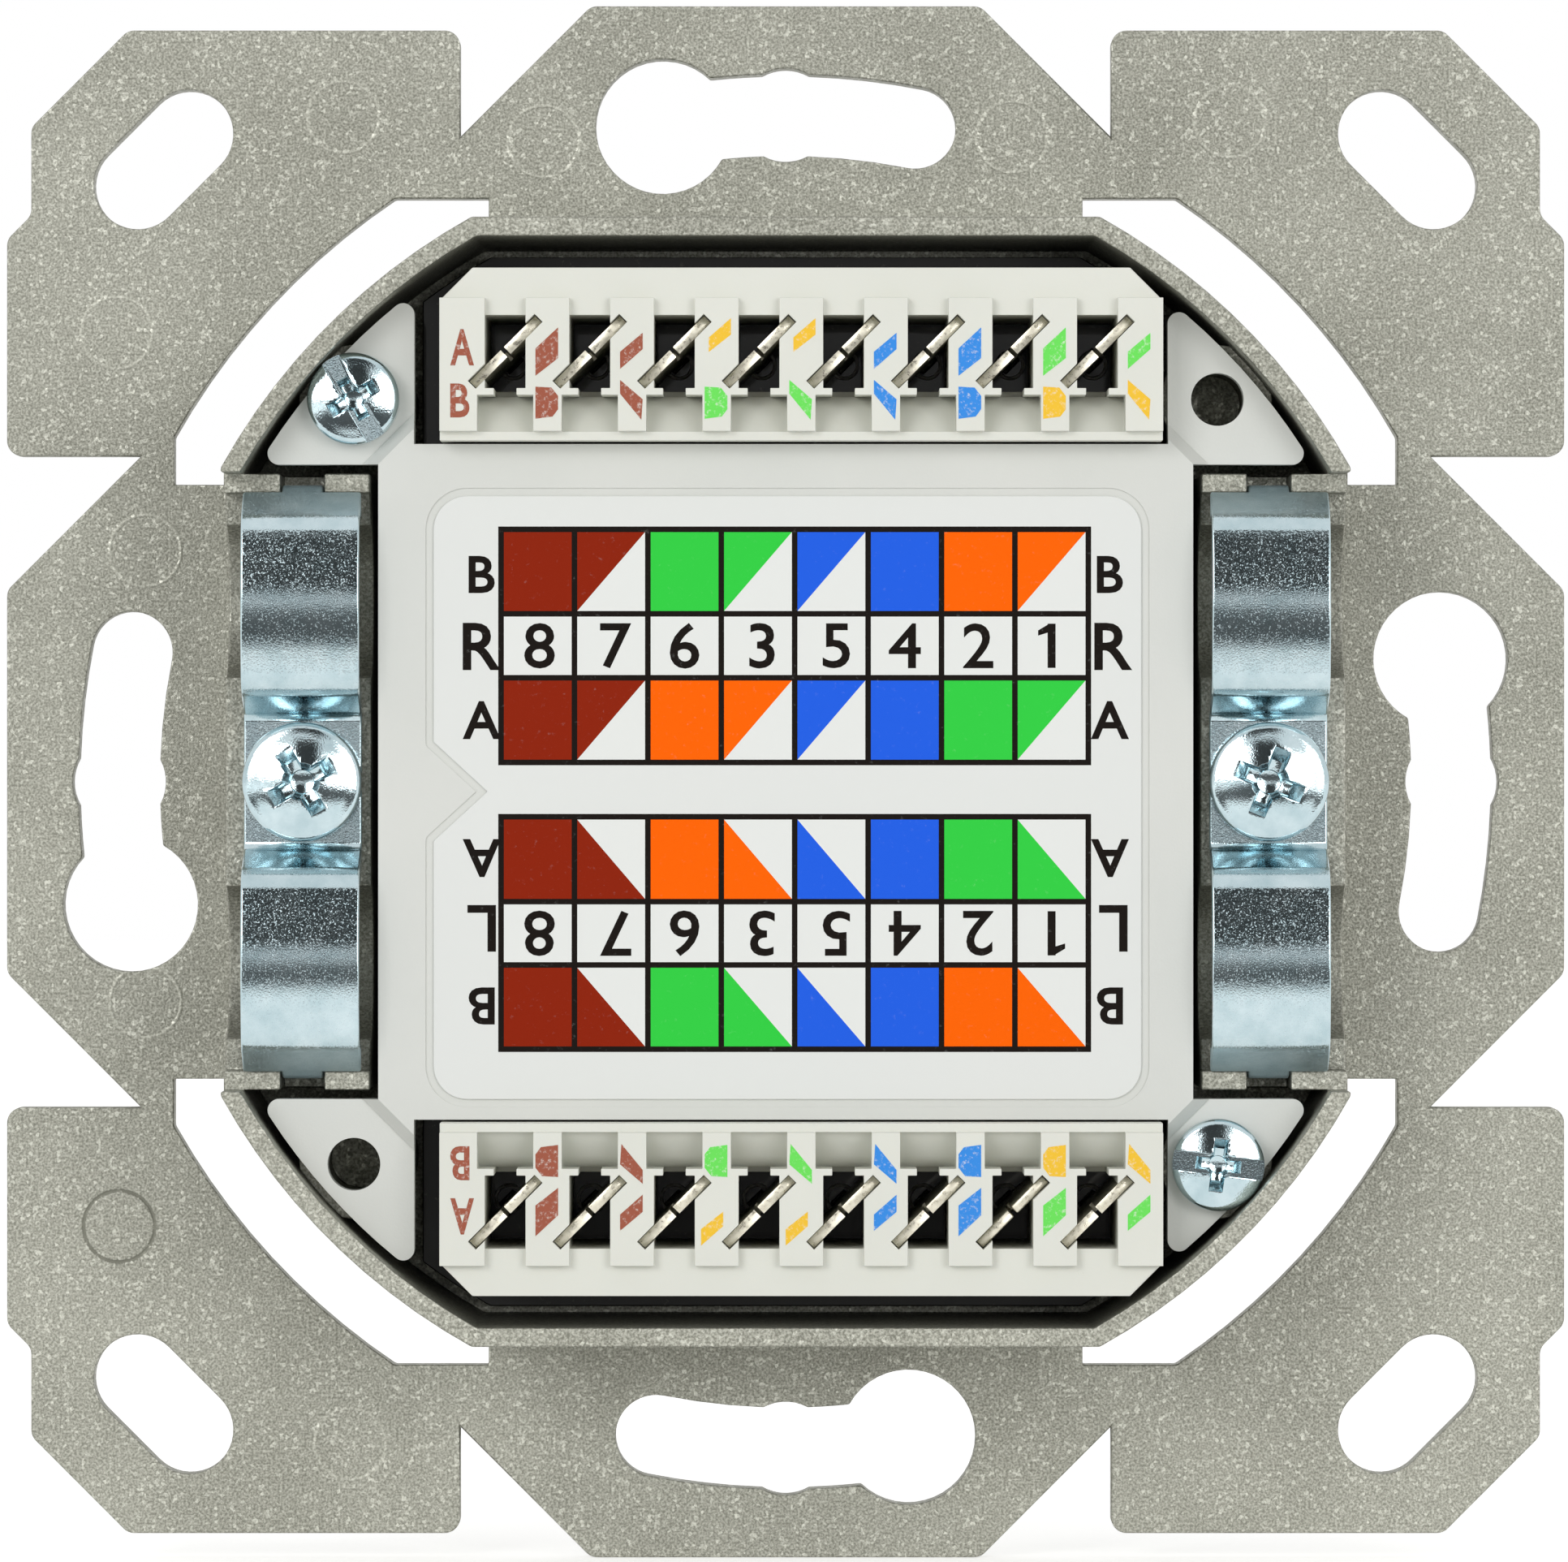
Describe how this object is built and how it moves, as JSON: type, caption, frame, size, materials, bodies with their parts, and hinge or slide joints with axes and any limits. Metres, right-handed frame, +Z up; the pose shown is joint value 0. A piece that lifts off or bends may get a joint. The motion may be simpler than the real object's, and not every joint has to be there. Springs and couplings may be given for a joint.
{
  "type": "ethernet wall socket",
  "caption": "Flush wall socket insert for network cables: die-cast carrier, cable clamps, terminal strips with wiring label, and jacks that open to the front.",
  "frame": {"origin": "centre of the carrier plate's rear face, which lies on the wall box, on the axis of the fixing slots' circle", "axes": "+Z up and +X right as seen from the terminal side, which faces -Y; the jacks open along +Y, into the room"},
  "size_m": [0.0708, 0.028, 0.0706],
  "materials": {
    "die_cast_zinc": "blasted die-cast zinc",
    "zinc_plated_steel": "bright zinc plating",
    "terminal_white": "moulded, semi-gloss",
    "cover_grey_white": "moulded, satin",
    "label_film": "printed film",
    "board_black": "black solder mask",
    "contact_bronze": "tinned bronze",
    "jack_black": "moulded",
    "shield_tinned": "tinned sheet",
    "wire_gold": "gold plated"
  },
  "bodies": {
    "socket": {"carrier_casting": "die_cast_zinc", "circuit_board": "board_black", "terminal_strip_top": "terminal_white", "terminal_strip_bottom": "terminal_white", "idc_contact_top_1": "contact_bronze", "idc_contact_top_2": "contact_bronze", "idc_contact_top_3": "contact_bronze", "idc_contact_top_4": "contact_bronze", "idc_contact_top_5": "contact_bronze", "idc_contact_top_6": "contact_bronze", "idc_contact_top_7": "contact_bronze", "idc_contact_top_8": "contact_bronze", "idc_contact_bottom_1": "contact_bronze", "idc_contact_bottom_2": "contact_bronze", "idc_contact_bottom_3": "contact_bronze", "idc_contact_bottom_4": "contact_bronze", "idc_contact_bottom_5": "contact_bronze", "idc_contact_bottom_6": "contact_bronze", "idc_contact_bottom_7": "contact_bronze", "idc_contact_bottom_8": "contact_bronze", "jack_housing_left": "jack_black", "jack_shield_left": "shield_tinned", "jack_housing_right": "jack_black", "jack_shield_right": "shield_tinned", "jack_wire_left_1": "wire_gold", "jack_wire_left_2": "wire_gold", "jack_wire_left_3": "wire_gold", "jack_wire_left_4": "wire_gold", "jack_wire_left_5": "wire_gold", "jack_wire_left_6": "wire_gold", "jack_wire_left_7": "wire_gold", "jack_wire_left_8": "wire_gold", "jack_wire_right_1": "wire_gold", "jack_wire_right_2": "wire_gold", "jack_wire_right_3": "wire_gold", "jack_wire_right_4": "wire_gold", "jack_wire_right_5": "wire_gold", "jack_wire_right_6": "wire_gold", "jack_wire_right_7": "wire_gold", "jack_wire_right_8": "wire_gold", "cover_plate": "cover_grey_white", "wiring_label": "label_film", "cover_screw_top_left": "zinc_plated_steel", "cover_screw_bottom_right": "zinc_plated_steel"},
    "strap_left": {"clamp_strap_left": "zinc_plated_steel"},
    "strap_right": {"clamp_strap_right": "zinc_plated_steel"},
    "screw_left": {"clamp_screw_left": "zinc_plated_steel"},
    "screw_right": {"clamp_screw_right": "zinc_plated_steel"}
  },
  "joints": [
    {"name": "clamp_left_lift", "type": "slide", "parent": "socket", "child": "strap_left", "axis": [0, -1, 0], "range_m": [0, 0.003]},
    {"name": "clamp_left_screw_turn", "type": "hinge", "parent": "strap_left", "child": "screw_left", "pos_m": [-0.0215, 0, 0], "axis": [0, -1, 0], "range_deg": [0, 2160]},
    {"name": "clamp_right_lift", "type": "slide", "parent": "socket", "child": "strap_right", "axis": [0, -1, 0], "range_m": [0, 0.003]},
    {"name": "clamp_right_screw_turn", "type": "hinge", "parent": "strap_right", "child": "screw_right", "pos_m": [0.0215, 0, 0], "axis": [0, -1, 0], "range_deg": [0, 2160]}
  ],
  "couplings": [
    {"joint": "clamp_left_screw_turn", "follows": "clamp_left_lift", "rad_per_m": 12566},
    {"joint": "clamp_right_screw_turn", "follows": "clamp_right_lift", "rad_per_m": 12566}
  ]
}
